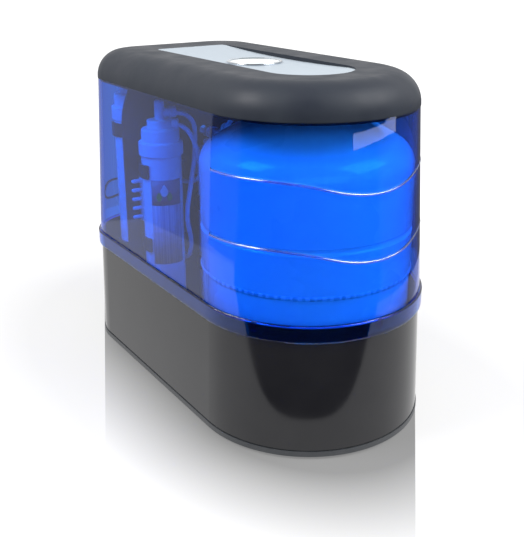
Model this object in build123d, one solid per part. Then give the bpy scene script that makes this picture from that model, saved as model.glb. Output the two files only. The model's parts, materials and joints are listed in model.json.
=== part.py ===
from build123d import *
import os
from math import asin, atan, cos, degrees, pi, radians, sin, sqrt, tan

# A closed-case reverse osmosis water purifier for the cupboard under a sink.
# Millimetres. +Z is up, the rounded nose faces -Y and the flat back faces +Y.
# The origin is at the middle of the underside, on the surface that it stands on.

# Plan of the case: a straight-sided body with a half-round nose and two rounded rear corners.
# Its width is that of three filter sets and the rooms beside and between them.
# Its length is the nose, the way back to the front row of sets, the plate and the bay behind it.
left_room = 33.5
right_room = 22.0
tube_gap = 24.5
filter_gap = 6.0
filter_distance = 230.0
rear_bay = 96.5
rear_corner_radius = 75.0

# Heights of the case, one above the other
foot_height = 3.0
lip_height = 6.0
reveal_height = 1.5
shell_height = 142.5
seal_thickness = 1.5
skirt_drop = 17.5
ledge_thickness = 2.5
cover_height = 209.0
lid_height = 36.0

# How far each outline stands out from the plan
lip_out = 6.0
shell_out_low = 5.2
shell_out_high = 1.2
skirt_out = 5.2
cover_out_low = 2.4
cover_out_high = -7.7
lid_out = -7.2

# Walls of the case
pan_floor = 2.5
shell_wall = 2.5
cover_wall = 2.5
lid_wall = 3.0
upstand_height = 12.0
upstand_wall = 2.0
lid_tongue = 3.0
reveal_depth = 1.5

# Clearances
slip_gap = 0.3
touch_gap = 0.05
screw_gap = 0.02
cut_over = 1.0

# Fillets of the case
skirt_low_fillet = 2.2
skirt_high_fillet = 1.6
lid_round = 34.0

# The wave grooves in the cover
wave_width = 3.0
wave_depth = 1.1
wave_half_span = 110.0
wave_high_level = 308.0
wave_high_dip = 16.0
wave_low_level = 237.0
wave_low_dip = 16.0

# Snap lugs inside the skirt, and how far they stand inwards
lug_width = 7.0
lug_height = 9.0
lug_depth = 2.0
lug_angle = 60.0

# Dished inlay panel in the lid, and the badge on it
panel_half_width = 51.0
panel_back = 152.0
panel_corner = 6.0
panel_thickness = 2.5
panel_sag = 4.5
tray_wall = 2.5
badge_radius = 33.0
badge_ring_width = 3.0
badge_ring_height = 2.4
badge_height = 1.6
badge_rise = 3.0

# Rubber feet and the screws that hold the lower shell to the pan
foot_radius = 11.0
foot_inset = 30.0
boss_radius = 4.5
boss_height = 26.0
boss_inset = 4.2
screw_radius = 1.5
screw_head_radius = 3.0
screw_head_height = 1.8
screw_bite = 14.0

# Pressure tank
tank_gap = 9.5
tank_headroom = 43.5
tank_wall = 1.2
tank_step = 1.0
tank_bottom = 24.0
tank_seam = 182.0
top_knuckle = 30.0
top_crown = 188.0
low_knuckle = 45.0
low_crown = 300.0
crimp_height = 232.0
crimp_depth = 2.7
crimp_radius = 4.3
bead_height = 4.0
bead_out = 0.9
bladder_wall = 2.0
bladder_depth = 110.0
bladder_gap = 6.0
bladder_rim = 4.0
air_valve_radius = 4.0
air_valve_length = 9.0
cradle_radius = 84.0
cradle_wall = 14.0

# Tank neck, ball valve and its lever
neck_radius = 8.0
neck_flange_radius = 15.0
neck_flange = 3.0
neck_inside = 7.0
valve_radius = 9.5
valve_height = 18.0
ball_radius = 6.0
stem_radius = 2.0
stem_gap = 0.05
stem_height = 3.0
lever_length = 30.0
lever_width = 8.0
lever_thickness = 2.4

# Upright chassis plate across the case
plate_thickness = 2.5
plate_height = 353.0
plate_shoulder = 305.0
plate_inset = 24.5
plate_flange = 22.0
hole_radius = 6.0
plate_screw_share = 0.75
high_crossing = 222.0
low_crossing = 109.7

# Filter sets: a cartridge that hangs from a head
body_radius = 26.5
body_wall = 2.5
body_round = 8.0
ring_radius = 29.0
ring_height = 18.5
cap_radius = 25.0
cap_height = 17.5
cap_neck_radius = 17.0
cap_neck_height = 10.5
head_fillet = 2.0
plug_radius = 22.0
plug_height = 15.0
head_level = 271.0
media_radius = 20.0
media_gap = 3.0
core_radius = 6.0
label_thickness = 0.25

# Places of the filter sets on the plate
front_standoff = 7.0
rear_standoff = 12.0
rear_filter_room = 30.5
rear_head_room = 12.5
short_filter_drop = 37.0
front_filter_bottom = 44.0
rear_filter_bottom = 105.0

# Spring clips that hold the cartridges
clip_wall = 3.0
clip_height = 18.0
clip_half_opening = 64.0
clip_stem = 18.0
front_clip_levels = (143.0, 243.0)
rear_clip_level = 118.0
rear_clip_room = 3.0
short_clip_levels = (98.0, 186.0)

# Push-fit tube and its fittings
tube_radius = 3.175
tube_bore = 2.15
socket_gap = 0.05
socket_depth = 12.0
flow_radius = 2.0
fitting_radius = 6.0
fitting_collar = 7.6
fitting_collar_length = 8.0
elbow_radius = 6.5
elbow_reach = 21.0
elbow_rise = 8.0
first_crown = 11.0
elbow_shank = 4.0
elbow_shank_length = 7.0
side_port_reach = 24.0
side_port_start = 12.0

# Rear pocket with the ports
pocket_depth = 20.0
pocket_half_width = 50.0
pocket_centre = -20.0
pocket_height = 60.0
pocket_level = 70.0
pocket_wall = 2.5
port_places = (-52.0, -27.0, -2.0)
port_barrel_radius = 7.5
port_shank_radius = 6.0
port_outer_length = 14.0
port_inner_length = 16.0
nut_radius = 9.5
nut_height = 5.0
collet_radius = 5.0
collet_depth = 6.0
collet_flange_radius = 6.2
collet_flange = 1.2
collet_travel = 1.5
collet_bore_gap = 0.12
jack_place = 20.0
jack_radius = 5.5
jack_flange_radius = 8.0
jack_flange = 2.0
jack_bore = 2.9
jack_pin = 1.0
jack_depth = 9.0
jack_length = 14.0

# Booster pump behind the plate
pump_room = 68.0
pump_standoff = 14.0
pump_bottom = 24.0
motor_radius = 27.0
motor_height = 78.0
motor_wall = 1.5
rotor_radius = 20.0
rotor_height = 44.0
shaft_radius = 2.5
shaft_gap = 0.05
bearing_radius = 8.0
bearing_height = 6.0
pump_head_radius = 29.0
pump_head_height = 42.0
pump_cavity = 14.0
pump_spout = 12.0
pump_port_level_share = 0.6
band_height = 12.0
band_wall = 2.0
band_levels = (14.0, 52.0)

# Solenoid inlet valve
valve_block_width = 26.0
valve_block_height = 26.0
valve_block_depth = 24.0
coil_radius = 11.5
coil_length = 26.0
core_pin_radius = 4.0
valve_spout = 12.0

# Power lead, straight run out of a socket, share of its shorter run that a bend takes, and the sleeve
lead_radius = 1.9
lead_out = 24.0
lead_straight = 12.0
plate_crossing = 36.0
feed_corner = 38.0
side_corner = 22.0
arc_share = 0.45
sleeve_radius = 7.0
sleeve_length = 24.0
sleeve_share = 0.46

# Comb that holds tubes on the front of the plate
comb_inset = 20.0
comb_width = 6.0
comb_thickness = 6.5
comb_pegs = 5
comb_pitch = 12.5
comb_level = 181.0
peg_radius = 2.7
peg_length = 13.0
peg_round_share = 0.8

# Levels and places that follow from the sizes above
case_width = left_room + tube_gap + filter_gap + right_room + 6 * ring_radius
nose_radius = case_width / 2
case_length = nose_radius + filter_distance + body_radius + front_standoff + rear_bay
nose_y = -case_length / 2 + nose_radius
back_y = case_length / 2
pan_z = foot_height
floor_z = pan_z + pan_floor
lip_z = pan_z + lip_height
shell_z = lip_z + reveal_height
shell_top_z = shell_z + shell_height
seal_top_z = shell_top_z + seal_thickness
skirt_z = seal_top_z - skirt_drop
ledge_z = seal_top_z + ledge_thickness
cover_top_z = ledge_z + cover_height
lid_top_z = cover_top_z + lid_height
tank_radius = nose_radius - tank_gap
tank_top_z = lid_top_z - tank_headroom
plate_place = nose_y + filter_distance + body_radius + front_standoff
plate_half_width = nose_radius - plate_inset
panel_front = nose_y - panel_half_width
panel_middle = (panel_front + panel_back) / 2
plate_back = plate_place + plate_thickness
plate_top_z = floor_z + plate_height
front_row_y = plate_place - front_standoff - body_radius
rear_row_y = plate_back + rear_standoff + body_radius
socket_radius = tube_radius + socket_gap
pocket_floor_y = back_y - pocket_depth
port_inner_y = pocket_floor_y - pocket_wall - port_inner_length
pump_place_x = nose_radius - pump_room
pump_y = plate_back + pump_standoff + motor_radius
pump_head_z = pump_bottom + motor_height
pump_top_z = pump_head_z + pump_head_height

first_place = left_room + ring_radius - nose_radius
rear_place = rear_filter_room + ring_radius - nose_radius
third_place = first_place + 2 * ring_radius + tube_gap
fourth_place = third_place + 2 * ring_radius + filter_gap
rear_filter_lift = cover_top_z - rear_head_room - cap_neck_height - cap_height - ring_height - head_level

# Filter sets by letter: x, y, lowest level and how far the head is lifted
filters = {
    "a": (first_place, front_row_y, front_filter_bottom, 0),
    "b": (rear_place, rear_row_y, rear_filter_bottom, rear_filter_lift),
    "c": (third_place, front_row_y, front_filter_bottom, -short_filter_drop),
    "d": (fourth_place, front_row_y, front_filter_bottom, -short_filter_drop),
}

# Headings of each set's top elbow and side port, in degrees from +X towards +Y
elbow_headings = {"a": -8.0, "b": 0.0, "c": 90.0, "d": 90.0}
side_headings = {"a": -38.0, "b": -14.0, "c": 0.0, "d": 180.0}


def plan_face(out, z):
    """The case outline, grown by out, at height z."""
    half = nose_radius + out
    corner = rear_corner_radius + out
    rear = back_y + out
    corner_x = half - corner
    corner_y = rear - corner
    outline = Wire([
        Edge.make_line((-half, corner_y), (-half, nose_y)),
        CenterArc((0, nose_y), half, 180, 180).edge(),
        Edge.make_line((half, nose_y), (half, corner_y)),
        CenterArc((corner_x, corner_y), corner, 0, 90).edge(),
        Edge.make_line((corner_x, rear), (-corner_x, rear)),
        CenterArc((-corner_x, corner_y), corner, 90, 90).edge(),
    ])
    return Pos(0, 0, z) * Face(outline)


def slab(out, z_low, z_high):
    """A prism of the case outline."""
    return extrude(plan_face(out, z_low), amount=z_high - z_low)


def tapered(out_low, out_high, z_low, z_high):
    """A drafted prism of the case outline."""
    draft = degrees(atan((out_low - out_high) / (z_high - z_low)))
    return extrude(plan_face(out_low, z_low), amount=z_high - z_low, taper=draft)


def upright(radius, z_low, z_high, x=0, y=0):
    """An upright cylinder between two levels."""
    height = z_high - z_low
    return Pos(x, y, z_low + height / 2) * Cylinder(radius, height)


def lying(radius, start, heading, length):
    """A level cylinder from a start point along a heading in degrees."""
    turn = Rot(0, 0, heading) * Rot(0, 90, 0)
    return Pos(*start) * turn * Pos(0, 0, length / 2) * Cylinder(radius, length)


def block(x_low, x_high, y_low, y_high, z_low, z_high):
    """A box between two corners."""
    middle = ((x_low + x_high) / 2, (y_low + y_high) / 2, (z_low + z_high) / 2)
    return Pos(*middle) * Box(x_high - x_low, y_high - y_low, z_high - z_low)


def ahead(x, y, heading, distance):
    """The plan point at a distance along a heading."""
    angle = radians(heading)
    return x + distance * cos(angle), y + distance * sin(angle)


def boss_places():
    """Places of the screw bosses along both sides of the case."""
    side = nose_radius + shell_out_low - shell_wall - boss_inset
    rows = (nose_y, (nose_y + back_y - rear_corner_radius) / 2, back_y - rear_corner_radius)
    return [(sign * side, row) for sign in (-1, 1) for row in rows]


def foot_places():
    """Places of the rubber feet."""
    side = nose_radius - foot_inset
    return [(sign * side, row) for sign in (-1, 1) for row in (nose_y, back_y - rear_corner_radius)]


def plate_screw_places():
    """Places of the screws through the foot of the plate."""
    side = plate_half_width * plate_screw_share
    return [(sign * side, plate_back + plate_flange / 2) for sign in (-1, 1)]


# Case

def base_plate():
    lean = (shell_out_low - shell_out_high) * upstand_height / shell_height
    upstand_out = shell_out_low - shell_wall - slip_gap - lean
    inner = upstand_out - upstand_wall
    pan = slab(lip_out, pan_z, lip_z)
    pan += slab(shell_out_low - reveal_depth, lip_z, shell_z)
    pan += slab(upstand_out, shell_z, shell_z + upstand_height)
    pan -= slab(inner, floor_z, shell_z + upstand_height + cut_over)
    for x, y in boss_places():
        pan -= upright(boss_radius + slip_gap, floor_z, shell_z + upstand_height + cut_over, x, y)
        pan -= upright(screw_radius + touch_gap, pan_z - cut_over, floor_z + cut_over, x, y)
    for x, y in plate_screw_places():
        pan -= upright(screw_radius + screw_gap, pan_z - cut_over, floor_z + cut_over, x, y)
    return pan


def rubber_feet():
    return [upright(foot_radius, 0, foot_height, x, y) for x, y in foot_places()]


def case_screws():
    screws = []
    for x, y in boss_places():
        head = upright(screw_head_radius, pan_z - screw_head_height, pan_z, x, y)
        screws.append(head + upright(screw_radius, pan_z, floor_z + screw_bite, x, y))
    seat = floor_z + plate_thickness
    for x, y in plate_screw_places():
        head = upright(screw_head_radius, seat, seat + screw_head_height, x, y)
        screws.append(head + upright(screw_radius, pan_z, seat, x, y))
    return screws


def lug_blocks(grow):
    """Blocks round the nose where the cover's snap lugs hang, from the skirt's inside inwards."""
    blocks = []
    reach = nose_radius + skirt_out - cover_wall - lug_depth / 2
    for turn in (-lug_angle, 0, lug_angle):
        x, y = ahead(0, nose_y, turn - 90, reach)
        lug = Box(lug_depth + 2 * grow, lug_width + 2 * grow, lug_height + 2 * grow)
        blocks.append(Pos(x, y, seal_top_z - lug_height / 2) * Rot(0, 0, turn) * Rot(0, 0, -90) * lug)
    return blocks


def lower_shell():
    outer = tapered(shell_out_low, shell_out_high, shell_z, shell_top_z)
    inner = tapered(shell_out_low - shell_wall, shell_out_high - shell_wall, shell_z, shell_top_z)
    shell = outer - inner
    left = pocket_centre - pocket_half_width
    right = pocket_centre + pocket_half_width
    low = pocket_level - pocket_height / 2
    high = pocket_level + pocket_height / 2
    surround = block(left - pocket_wall, right + pocket_wall, pocket_floor_y - pocket_wall,
                     back_y + lip_out, low - pocket_wall, high + pocket_wall)
    shell += surround & outer
    shell -= block(left, right, pocket_floor_y, back_y + skirt_out, low, high)
    for x in port_places:
        shell -= lying(port_shank_radius + touch_gap, (x, pocket_floor_y + cut_over, pocket_level),
                       -90, pocket_wall + 2 * cut_over)
    shell -= lying(jack_radius + touch_gap, (jack_place, pocket_floor_y + cut_over, pocket_level),
                   -90, pocket_wall + 2 * cut_over)
    for x, y in boss_places():
        shell += upright(boss_radius, floor_z, floor_z + boss_height, x, y)
        shell -= upright(screw_radius + screw_gap, floor_z - cut_over,
                         floor_z + screw_bite + cut_over, x, y)
    for lug in lug_blocks(slip_gap):
        shell -= lug
    return shell


def rim_seal():
    edge = slab(shell_out_high - touch_gap, shell_top_z, seal_top_z)
    edge -= slab(shell_out_high - shell_wall + touch_gap, shell_top_z, seal_top_z)
    for lug in lug_blocks(slip_gap):
        edge -= lug
    return edge


def wave_face(level, dip, z_up):
    """The upright face, at the nose, that lies under a wave line lifted by z_up."""
    top = level + z_up
    reach = nose_radius + skirt_out + cut_over
    half = wave_half_span / 2
    slope = 2 * atan(dip / wave_half_span)
    points = [(-wave_half_span, top), (-half, top - dip / 2), (0, top - dip), (half, top - dip / 2)]
    line = [
        Edge.make_line((-reach, ledge_z - cut_over), (-reach, top)),
        Edge.make_line((-reach, top), points[0]),
        TangentArc(points[0], points[1], tangent=(1, 0)).edge(),
        TangentArc(points[1], points[2], tangent=(cos(slope), -sin(slope))).edge(),
        TangentArc(points[2], points[3], tangent=(1, 0)).edge(),
        TangentArc(points[3], (wave_half_span, top), tangent=(cos(slope), sin(slope))).edge(),
        Edge.make_line((wave_half_span, top), (reach, top)),
        Edge.make_line((reach, top), (reach, ledge_z - cut_over)),
        Edge.make_line((reach, ledge_z - cut_over), (-reach, ledge_z - cut_over)),
    ]
    return Plane.XZ * Face(Wire(line))


def below_wave(level, dip, z_up):
    """Everything in the nose that is below a wave line, which dips in front."""
    middle = Pos(0, nose_y, 0)
    return middle * extrude(wave_face(level, dip, z_up), amount=back_y + skirt_out, dir=(0, -1, 0))


def wave_groove(level, dip):
    band = below_wave(level, dip, wave_width / 2) - below_wave(level, dip, -wave_width / 2)
    skin = tapered(cover_out_low + cut_over, cover_out_high + cut_over, ledge_z, cover_top_z)
    skin -= tapered(cover_out_low - wave_depth, cover_out_high - wave_depth, ledge_z, cover_top_z)
    return band & skin


def transparent_cover():
    skirt = slab(skirt_out, skirt_z, ledge_z)
    skirt = fillet(skirt.edges().group_by(Axis.Z)[0], skirt_low_fillet)
    skirt = fillet(skirt.edges().group_by(Axis.Z)[-1], skirt_high_fillet)
    cover = skirt + tapered(cover_out_low, cover_out_high, ledge_z, cover_top_z)
    cover -= slab(skirt_out - cover_wall, skirt_z - cut_over, seal_top_z)
    inside_low = cover_out_low - cover_wall + (cover_out_low - cover_out_high) * ledge_thickness / cover_height
    cover -= tapered(inside_low, cover_out_high - cover_wall, seal_top_z, cover_top_z)
    cover -= wave_groove(wave_high_level, wave_high_dip)
    cover -= wave_groove(wave_low_level, wave_low_dip)
    for lug in lug_blocks(0):
        cover += lug
    return cover


def lid_form(out, z_low, z_high, rounding):
    """The rounded pillow form of the lid."""
    form = slab(out, z_low, z_high)
    return fillet(form.edges().group_by(Axis.Z)[-1], rounding)


def panel_prism(grow):
    """A tall prism over the panel's outline: half round in front, straight at the back."""
    half = panel_half_width + grow
    rear = panel_back + grow
    corner = panel_corner + grow
    outline = Wire([
        Edge.make_line((-half, rear - corner), (-half, nose_y)),
        CenterArc((0, nose_y), half, 180, 180).edge(),
        Edge.make_line((half, nose_y), (half, rear - corner)),
        CenterArc((half - corner, rear - corner), corner, 0, 90).edge(),
        Edge.make_line((half - corner, rear), (corner - half, rear)),
        CenterArc((corner - half, rear - corner), corner, 90, 90).edge(),
    ])
    return extrude(Pos(0, 0, cover_top_z) * Face(outline), amount=lid_height + cut_over)


def dish(depth):
    """The space above the dished surface that lies depth below the panel's top."""
    half_chord = (panel_back - panel_front) / 2
    radius = (half_chord * half_chord + panel_sag * panel_sag) / (2 * panel_sag)
    roll = Rot(0, 90, 0) * Cylinder(radius + depth, case_width)
    return Pos(0, panel_middle, lid_top_z - panel_sag + radius) * roll


def top_lid():
    lid = lid_form(lid_out, cover_top_z, lid_top_z, lid_round)
    lid -= lid_form(lid_out - lid_wall, cover_top_z, lid_top_z - lid_wall, lid_round - lid_wall)
    tongue_out = cover_out_high - cover_wall - slip_gap
    tongue = slab(tongue_out, cover_top_z - lid_tongue, cover_top_z)
    tongue += slab(lid_out - lid_wall / 2, cover_top_z, cover_top_z + lid_wall)
    lid += tongue - slab(tongue_out - upstand_wall, cover_top_z - lid_tongue, cover_top_z + lid_wall)
    tray = panel_prism(slip_gap + tray_wall) & dish(panel_thickness + touch_gap + tray_wall)
    tray &= slab(lid_out - lid_round, cover_top_z, lid_top_z)
    lid += tray
    lid -= panel_prism(slip_gap) & dish(panel_thickness + touch_gap)
    return lid


def lid_panel():
    panel = (panel_prism(0) & dish(panel_thickness)) - dish(0)
    return panel & slab(0, cover_top_z, lid_top_z)


def badge_ring():
    low = lid_top_z - panel_sag
    ring = upright(badge_radius, low, low + badge_ring_height, 0, panel_middle)
    ring = fillet(ring.edges().group_by(Axis.Z)[-1], badge_ring_width / 3)
    ring -= upright(badge_radius - badge_ring_width, low, low + badge_ring_height, 0, panel_middle)
    return ring & dish(-touch_gap)


def badge_dome():
    low = lid_top_z - panel_sag
    inner = badge_radius - badge_ring_width - touch_gap
    rise = badge_rise - badge_height
    ball = (inner * inner + rise * rise) / (2 * rise)
    dome = upright(inner, low, low + badge_rise, 0, panel_middle)
    dome &= Pos(0, panel_middle, low + badge_rise - ball) * Sphere(ball)
    return dome & dish(-touch_gap)


# Pressure tank

def crown_centre(radius, knuckle, crown, z_tangent, sign):
    """Level of the crown's centre, from the level where the wall ends. sign is 1 upwards, -1 downwards."""
    return z_tangent - sign * sqrt((crown - knuckle) ** 2 - (radius - knuckle) ** 2)


tank_shoulder = crown_centre(tank_radius, top_knuckle, top_crown, tank_top_z - top_crown, -1)
tank_low_z = crown_centre(tank_radius - tank_step, low_knuckle, low_crown, tank_bottom + low_crown, 1)


def tank_end(grow, sign):
    """A solid tank end, grown by grow: the upper one for sign 1, the lower one for sign -1."""
    if sign > 0:
        radius, knuckle, crown, z_tangent = tank_radius, top_knuckle, top_crown, tank_shoulder
    else:
        radius, knuckle, crown, z_tangent = tank_radius - tank_step, low_knuckle, low_crown, tank_low_z
    centre_z = crown_centre(radius, knuckle, crown, z_tangent, sign)
    sweep = asin((radius - knuckle) / (crown - knuckle))
    radius += grow
    crown += grow
    start = (crown * sin(sweep), centre_z + sign * crown * cos(sweep))
    knuckle_turn = (pi / 2 - sweep) / 2
    round_radius = knuckle + grow
    mid_knuckle = (radius - round_radius + round_radius * cos(knuckle_turn),
                   z_tangent + sign * round_radius * sin(knuckle_turn))
    mid_crown = (crown * sin(sweep / 2), centre_z + sign * crown * cos(sweep / 2))
    end = (0, centre_z + sign * crown)
    outline = Wire([
        Edge.make_line((0, tank_seam), (radius, tank_seam)),
        Edge.make_line((radius, tank_seam), (radius, z_tangent)),
        ThreePointArc((radius, z_tangent), mid_knuckle, start).edge(),
        ThreePointArc(start, mid_crown, end).edge(),
        Edge.make_line(end, (0, tank_seam)),
    ])
    return Pos(0, nose_y, 0) * revolve(Plane.XZ * Face(outline), Axis.Z)


def crimp(radius):
    ring = Torus(tank_radius + crimp_radius - crimp_depth, radius)
    return Pos(0, nose_y, crimp_height) * ring


def tank_upper_shell():
    shell = tank_end(0, 1) - crimp(crimp_radius)
    shell -= tank_end(-tank_wall, 1) - crimp(crimp_radius + tank_wall)
    return shell - upright(neck_radius + touch_gap, tank_top_z - top_knuckle, tank_top_z + cut_over, 0, nose_y)


def tank_lower_shell():
    shell = tank_end(0, -1) - tank_end(-tank_wall, -1)
    return shell - upright(air_valve_radius + touch_gap, tank_bottom - cut_over,
                           tank_bottom + tank_wall + cut_over, 0, nose_y)


def tank_weld_bead():
    outside = tank_radius + bead_out
    bead = upright(outside, tank_seam - bead_height / 2, tank_seam + bead_height / 2)
    bead = fillet(bead.edges(), bead_out)
    bead -= upright(tank_radius + touch_gap, tank_seam, tank_seam + bead_height)
    bead -= upright(tank_radius - tank_step + touch_gap, tank_seam - bead_height, tank_seam)
    return Pos(0, nose_y, 0) * bead


def tank_bladder():
    outside = tank_radius - tank_wall - bladder_gap
    top = crimp_height - crimp_radius - tank_wall - slip_gap
    cup = upright(outside, top - bladder_depth, top)
    cup = fillet(cup.edges().group_by(Axis.Z)[0], low_knuckle)
    hollow = upright(outside - bladder_wall, top - bladder_depth + bladder_wall, top)
    hollow = fillet(hollow.edges().group_by(Axis.Z)[0], low_knuckle - bladder_wall)
    rim = upright(tank_radius - tank_wall - slip_gap, top - bladder_rim, top)
    rim -= upright(outside - bladder_wall, top - bladder_rim, top)
    return Pos(0, nose_y, 0) * ((cup - hollow) + rim)


def tank_air_valve():
    valve = upright(air_valve_radius, tank_bottom - air_valve_length, tank_bottom + tank_wall, 0, nose_y)
    return fillet(valve.edges().group_by(Axis.Z)[0], cut_over)


def tank_cradle():
    ring = upright(cradle_radius, floor_z, tank_bottom + low_knuckle / 2, 0, nose_y)
    ring -= upright(cradle_radius - cradle_wall, floor_z, tank_seam, 0, nose_y)
    return ring - tank_end(slip_gap, -1)


def neck_seat_z():
    """Level at which the neck's flange meets the crown round the neck hole."""
    return tank_top_z - top_crown + sqrt(top_crown ** 2 - neck_radius ** 2)


def tank_neck():
    seat = neck_seat_z()
    neck = upright(neck_flange_radius, seat, seat + neck_flange, 0, nose_y)
    neck += upright(neck_radius, seat - neck_inside, seat + neck_flange, 0, nose_y)
    return neck - upright(flow_radius, seat - neck_inside, seat + neck_flange, 0, nose_y)


valve_z = neck_seat_z() + neck_flange
ball_z = valve_z + valve_height / 2
valve_top_z = valve_z + valve_height


def tank_valve_body():
    body = upright(valve_radius, valve_z, valve_top_z, 0, nose_y)
    body = fillet(body.edges().group_by(Axis.Z)[-1], head_fillet)
    body += lying(fitting_radius, (0, nose_y, ball_z), 90, elbow_reach)
    collar = (0, nose_y + elbow_reach - fitting_collar_length, ball_z)
    body += lying(fitting_collar, collar, 90, fitting_collar_length)
    body -= Pos(0, nose_y, ball_z) * Sphere(ball_radius + stem_gap)
    body -= upright(stem_radius + stem_gap, ball_z, valve_top_z + cut_over, 0, nose_y)
    body -= upright(flow_radius, valve_z, ball_z, 0, nose_y)
    body -= lying(flow_radius, (0, nose_y, ball_z), 90, elbow_reach)
    body -= lying(socket_radius, (0, nose_y + elbow_reach - socket_depth, ball_z), 90,
                  socket_depth + cut_over)
    return body


def tank_valve_ball():
    ball = Pos(0, nose_y, ball_z) * Sphere(ball_radius)
    ball += upright(stem_radius, ball_z, valve_top_z + stem_height, 0, nose_y)
    ball -= upright(flow_radius, valve_z, ball_z, 0, nose_y)
    return ball - lying(flow_radius, (0, nose_y, ball_z), 90, ball_radius + cut_over)


def tank_valve_lever():
    low = valve_top_z + slip_gap
    high = low + lever_thickness
    blade = block(-lever_width / 2, lever_width / 2, nose_y, nose_y + lever_length, low, high)
    blade = fillet(blade.edges().filter_by(Axis.Z), lever_width / 2 - touch_gap)
    blade += upright(lever_width, low, high, 0, nose_y)
    return blade - upright(stem_radius + screw_gap, low - cut_over, high + cut_over, 0, nose_y)


# Chassis plate and comb

def head_top_z(letter):
    """Level of the top of a set's head."""
    return head_level + filters[letter][3] + ring_height + cap_height + cap_neck_height


def ring_edge(letter, side):
    return filters[letter][0] + side * ring_radius


tube_gap_x = (ring_edge("a", 1) + ring_edge("c", -1)) / 2


def crossing_places():
    """Places of the holes in the plate that the tubes cross through."""
    places = [(tube_gap_x, high_crossing), (tube_gap_x, low_crossing)]
    places.append((filters["c"][0], front_filter_bottom - elbow_rise))
    for letter in ("c", "d"):
        places.append((filters[letter][0], head_top_z(letter) + elbow_rise))
    return places


def chassis_plate():
    plate = block(-plate_half_width, plate_half_width, plate_place, plate_back, floor_z, plate_shoulder)
    arch = lying(plate_half_width, (0, plate_place, plate_shoulder), 90, plate_thickness)
    plate += arch & block(-plate_half_width, plate_half_width, plate_place, plate_back,
                          plate_shoulder, plate_top_z)
    plate += block(-plate_half_width, plate_half_width, plate_back, plate_back + plate_flange,
                   floor_z, floor_z + plate_thickness)
    depth = plate_thickness + 2 * cut_over
    for x, z in crossing_places():
        plate -= lying(hole_radius, (x, plate_place - cut_over, z), 90, depth)
    for x, y in plate_screw_places():
        plate -= upright(screw_radius + screw_gap, floor_z - cut_over, floor_z + plate_thickness + cut_over, x, y)
    return plate


def tube_comb():
    left = -plate_half_width + comb_inset
    high = comb_level + comb_pegs * comb_pitch
    comb = block(left, left + comb_width, plate_place - comb_thickness, plate_place,
                 comb_level - comb_pitch / 2, high - comb_pitch / 2)
    for number in range(comb_pegs):
        start = (left, plate_place - comb_thickness / 2, comb_level + number * comb_pitch)
        peg = lying(peg_radius, start, 180, peg_length)
        comb += fillet(peg.edges().group_by(Axis.X)[0], peg_radius * peg_round_share)
    return comb


# Filter sets

def filter_head(letter):
    x, y, _, lift = filters[letter]
    low = head_level + lift
    ring_top = low + ring_height
    cap_top = ring_top + cap_height
    neck_top = cap_top + cap_neck_height
    ring = fillet(upright(ring_radius, low, ring_top, x, y).edges(), head_fillet)
    cap = upright(cap_radius, ring_top - head_fillet, cap_top, x, y)
    cap = fillet(cap.edges().group_by(Axis.Z)[-1], 2 * head_fillet)
    neck = upright(cap_neck_radius, cap_top - head_fillet, neck_top, x, y)
    neck = fillet(neck.edges().group_by(Axis.Z)[-1], head_fillet)
    heading = side_headings[letter]
    level = neck_top - cap_neck_height / 2
    side = lying(fitting_radius - touch_gap, (*ahead(x, y, heading, side_port_start), level), heading,
                 side_port_reach - side_port_start)
    head = ring + cap + neck + side
    head -= upright(plug_radius + touch_gap, low - cut_over, low + plug_height + slip_gap, x, y)
    head -= upright(flow_radius, low, neck_top + cut_over, x, y)
    head -= upright(elbow_shank + touch_gap, neck_top - elbow_shank_length - slip_gap,
                    neck_top + cut_over, x, y)
    head -= lying(flow_radius, (x, y, level), heading, side_port_reach)
    head -= lying(socket_radius, (*ahead(x, y, heading, side_port_reach - socket_depth), level),
                  heading, socket_depth + cut_over)
    return head


def filter_cartridge(letter):
    x, y, bottom, lift = filters[letter]
    low = head_level + lift
    top = low - slip_gap
    body = upright(body_radius, bottom, top, x, y)
    body = fillet(body.edges().group_by(Axis.Z)[0], body_round)
    body += upright(plug_radius, top, low + plug_height, x, y)
    inside = upright(body_radius - body_wall, bottom + body_wall, top - body_wall, x, y)
    body -= fillet(inside.edges(), body_round - body_wall)
    body += upright(core_radius + body_wall, bottom + body_wall, media_foot_z(letter), x, y)
    body -= upright(flow_radius, top - 2 * body_wall, low + plug_height + cut_over, x, y)
    if letter == "c":
        body -= upright(elbow_shank + touch_gap, bottom - cut_over, bottom + elbow_shank_length + slip_gap, x, y)
        body -= upright(flow_radius, bottom, media_foot_z(letter) + cut_over, x, y)
    return body


def media_foot_z(letter):
    """Level of the seat inside a cartridge that carries its media."""
    return filters[letter][2] + body_wall + elbow_shank_length


def filter_media(letter):
    x, y, _, lift = filters[letter]
    foot = media_foot_z(letter)
    media = upright(media_radius, foot, head_level + lift - body_wall - media_gap, x, y)
    return media - upright(core_radius, foot, head_level + lift, x, y)


def wedge(x, y, heading, half_angle, z_low, z_high):
    """A prism over a pie slice, wide enough to cut any ring of a filter set."""
    reach = 2 * ring_radius
    left = ahead(x, y, heading + half_angle, reach)
    right = ahead(x, y, heading - half_angle, reach)
    tip = ahead(x, y, heading, reach)
    slice_face = Face(Wire.make_polygon([(x, y), left, tip, right], close=True))
    return extrude(Pos(0, 0, z_low) * slice_face, amount=z_high - z_low, dir=(0, 0, 1))


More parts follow.
